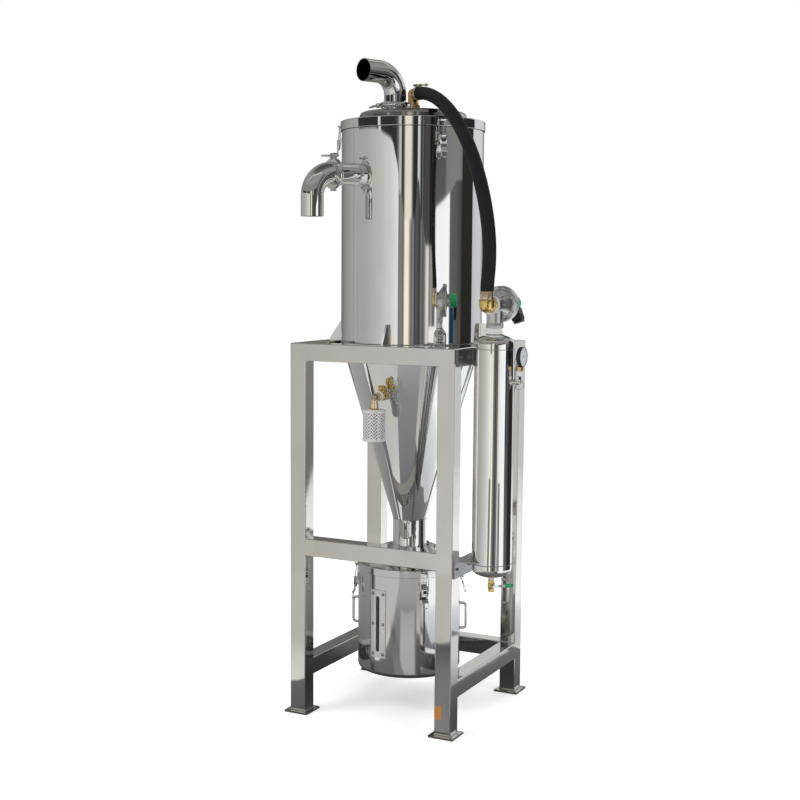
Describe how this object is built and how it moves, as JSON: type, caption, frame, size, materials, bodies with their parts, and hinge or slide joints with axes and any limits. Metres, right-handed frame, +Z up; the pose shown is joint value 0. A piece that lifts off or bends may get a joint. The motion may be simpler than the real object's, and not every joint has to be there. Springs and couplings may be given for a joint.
{
  "type": "pulse dust collector",
  "caption": "Free-standing pulse-jet dust collector: round steel filter body with hopper cone and drum on a square-tube frame, side air tank, valve and hose to the lid.",
  "frame": {"origin": "on the floor under the axis of the round body and the centre of the frame", "axes": "+Z up, -Y towards the open front of the frame, +X towards the air tank"},
  "size_m": [0.844, 0.7387, 2.258],
  "materials": {
    "frame_steel": "satin square tube",
    "polished_steel": "mirror polished stainless sheet",
    "drum_steel": "fine brushed stainless",
    "silencer_steel": "brushed",
    "brass": "cast and turned brass",
    "copper": "plated copper",
    "rubber": "matte black hose",
    "cast_aluminium": "die cast, satin",
    "green_plastic": "moulded",
    "black_plastic": "moulded",
    "white_plastic": "thread tape over a nipple",
    "sight_glass": "smoked sight glass",
    "latch_steel": "polished stainless"
  },
  "bodies": {
    "root": {"foot_plates": "frame_steel", "legs": "frame_steel", "top_rails": "frame_steel", "mid_rail": "frame_steel", "low_rails": "frame_steel", "gussets": "frame_steel", "body_shell": "polished_steel", "hopper_cone": "polished_steel", "neck_pipe": "polished_steel", "neck_flange": "frame_steel", "lid_rim": "polished_steel", "lid_cover": "polished_steel", "inlet_stub": "polished_steel", "inlet_clamp": "frame_steel", "inlet_elbow": "polished_steel", "outlet_stub": "polished_steel", "outlet_clamp": "frame_steel", "outlet_elbow": "polished_steel", "lid_boss": "brass", "lid_hose_elbow": "brass", "hose": "rubber", "hose_clamp": "frame_steel", "valve_elbow": "brass", "pulse_valve": "cast_aluminium", "valve_coil": "green_plastic", "coil_plug": "black_plastic", "tank_collar": "white_plastic", "air_tank": "polished_steel", "tank_ends": "polished_steel", "tank_brackets": "frame_steel", "drain_valve": "brass", "gauge": "black_plastic", "gauge_fitting": "polished_steel", "cone_fitting": "brass", "cone_elbow": "copper", "silencer": "silencer_steel", "drum_lid": "drum_steel", "drum_shell": "drum_steel", "drum_bottom": "drum_steel", "sight_plate": "polished_steel", "sight_glass": "sight_glass", "drum_handles": "polished_steel", "latch_bases": "frame_steel"},
    "lid_lever_1": {"lid_lever_1": "latch_steel"},
    "lid_loop_1": {"lid_loop_1": "latch_steel"},
    "lid_lever_2": {"lid_lever_2": "latch_steel"},
    "lid_loop_2": {"lid_loop_2": "latch_steel"},
    "lid_lever_3": {"lid_lever_3": "latch_steel"},
    "lid_loop_3": {"lid_loop_3": "latch_steel"},
    "drum_lever_1": {"drum_lever_1": "latch_steel"},
    "drum_loop_1": {"drum_loop_1": "latch_steel"},
    "drum_lever_2": {"drum_lever_2": "latch_steel"},
    "drum_loop_2": {"drum_loop_2": "latch_steel"},
    "drum_lever_3": {"drum_lever_3": "latch_steel"},
    "drum_loop_3": {"drum_loop_3": "latch_steel"},
    "drum_lever_4": {"drum_lever_4": "latch_steel"},
    "drum_loop_4": {"drum_loop_4": "latch_steel"},
    "drain_lever": {"drain_lever": "green_plastic"}
  },
  "joints": [
    {"name": "lid_lever_1_turn", "type": "hinge", "parent": "root", "child": "lid_lever_1", "pos_m": [0.19773, -0.17189, 1.996], "axis": [-0.6561, -0.7547, 0], "range_deg": [0, 90]},
    {"name": "lid_loop_1_turn", "type": "hinge", "parent": "lid_lever_1", "child": "lid_loop_1", "pos_m": [0.19773, -0.17189, 1.982], "axis": [-0.6561, -0.7547, 0], "range_deg": [-80, 0]},
    {"name": "lid_lever_2_turn", "type": "hinge", "parent": "root", "child": "lid_lever_2", "pos_m": [0.04999, 0.25719, 1.996], "axis": [0.9816, -0.1908, 0], "range_deg": [0, 90]},
    {"name": "lid_loop_2_turn", "type": "hinge", "parent": "lid_lever_2", "child": "lid_loop_2", "pos_m": [0.04999, 0.25719, 1.982], "axis": [0.9816, -0.1908, 0], "range_deg": [-80, 0]},
    {"name": "lid_lever_3_turn", "type": "hinge", "parent": "root", "child": "lid_lever_3", "pos_m": [-0.24773, -0.0853, 1.996], "axis": [-0.3256, 0.9455, 0], "range_deg": [0, 90]},
    {"name": "lid_loop_3_turn", "type": "hinge", "parent": "lid_lever_3", "child": "lid_loop_3", "pos_m": [-0.24773, -0.0853, 1.982], "axis": [-0.3256, 0.9455, 0], "range_deg": [-80, 0]},
    {"name": "drum_lever_1_turn", "type": "hinge", "parent": "root", "child": "drum_lever_1", "pos_m": [0.13215, -0.14677, 0.46], "axis": [-0.7431, -0.6691, 0], "range_deg": [0, 90]},
    {"name": "drum_loop_1_turn", "type": "hinge", "parent": "drum_lever_1", "child": "drum_loop_1", "pos_m": [0.13215, -0.14677, 0.446], "axis": [-0.7431, -0.6691, 0], "range_deg": [-80, 0]},
    {"name": "drum_lever_2_turn", "type": "hinge", "parent": "root", "child": "drum_lever_2", "pos_m": [0.14677, 0.13215, 0.46], "axis": [0.6691, -0.7431, 0], "range_deg": [0, 90]},
    {"name": "drum_loop_2_turn", "type": "hinge", "parent": "drum_lever_2", "child": "drum_loop_2", "pos_m": [0.14677, 0.13215, 0.446], "axis": [0.6691, -0.7431, 0], "range_deg": [-80, 0]},
    {"name": "drum_lever_3_turn", "type": "hinge", "parent": "root", "child": "drum_lever_3", "pos_m": [-0.13215, 0.14677, 0.46], "axis": [0.7431, 0.6691, 0], "range_deg": [0, 90]},
    {"name": "drum_loop_3_turn", "type": "hinge", "parent": "drum_lever_3", "child": "drum_loop_3", "pos_m": [-0.13215, 0.14677, 0.446], "axis": [0.7431, 0.6691, 0], "range_deg": [-80, 0]},
    {"name": "drum_lever_4_turn", "type": "hinge", "parent": "root", "child": "drum_lever_4", "pos_m": [-0.14677, -0.13215, 0.46], "axis": [-0.6691, 0.7431, 0], "range_deg": [0, 90]},
    {"name": "drum_loop_4_turn", "type": "hinge", "parent": "drum_lever_4", "child": "drum_loop_4", "pos_m": [-0.14677, -0.13215, 0.446], "axis": [-0.6691, 0.7431, 0], "range_deg": [-80, 0]},
    {"name": "drain_lever_turn", "type": "hinge", "parent": "root", "child": "drain_lever", "pos_m": [0.416, -0.229, 0.5185], "axis": [-0.7071, 0.7071, 0], "range_deg": [0, 90]}
  ],
  "couplings": [
    {"joint": "lid_loop_1_turn", "follows": "lid_lever_1_turn", "ratio": -0.85},
    {"joint": "lid_loop_2_turn", "follows": "lid_lever_2_turn", "ratio": -0.85},
    {"joint": "lid_loop_3_turn", "follows": "lid_lever_3_turn", "ratio": -0.85},
    {"joint": "drum_loop_1_turn", "follows": "drum_lever_1_turn", "ratio": -0.85},
    {"joint": "drum_loop_2_turn", "follows": "drum_lever_2_turn", "ratio": -0.85},
    {"joint": "drum_loop_3_turn", "follows": "drum_lever_3_turn", "ratio": -0.85},
    {"joint": "drum_loop_4_turn", "follows": "drum_lever_4_turn", "ratio": -0.85}
  ]
}
